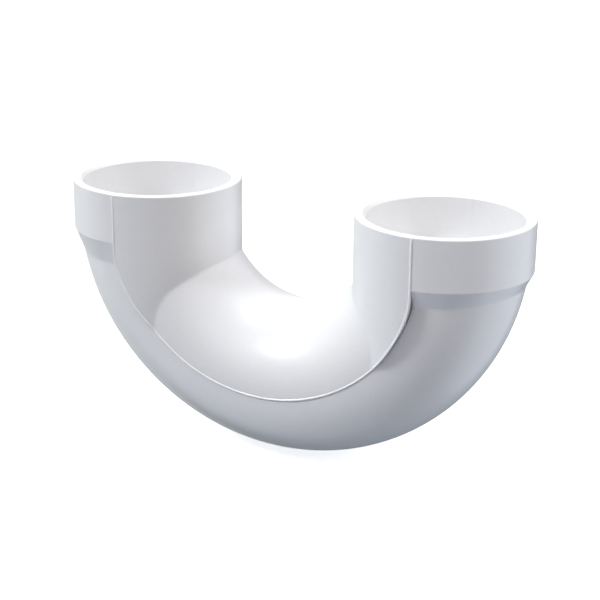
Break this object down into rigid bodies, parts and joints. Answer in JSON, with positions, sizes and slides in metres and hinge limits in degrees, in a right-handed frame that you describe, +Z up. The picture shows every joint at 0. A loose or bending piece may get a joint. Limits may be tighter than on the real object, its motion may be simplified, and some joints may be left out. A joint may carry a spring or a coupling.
{
  "type": "p-trap return bend",
  "caption": "U-shaped white plastic return bend of a P-trap, with an upright pipe socket on each leg, that keeps a water seal in a drain line.",
  "frame": {"origin": "bottom centre of the bounding box: under the lowest point of the bend, midway between the legs", "axes": "+Z up along both socket axes, +X from the inlet leg to the outlet leg, +Y across the bend"},
  "size_m": [0.1958, 0.0704, 0.1067],
  "materials": {
    "throat_pvc": "glossy moulded white PVC",
    "heel_pvc": "glossy moulded white PVC, a touch greyer",
    "weld_cement": "cured clear-white solvent cement"
  },
  "bodies": {
    "root": {"throat_shell": "throat_pvc", "heel_shell": "heel_pvc", "front_weld_bead": "weld_cement", "rear_weld_bead": "weld_cement"}
  },
  "joints": []
}
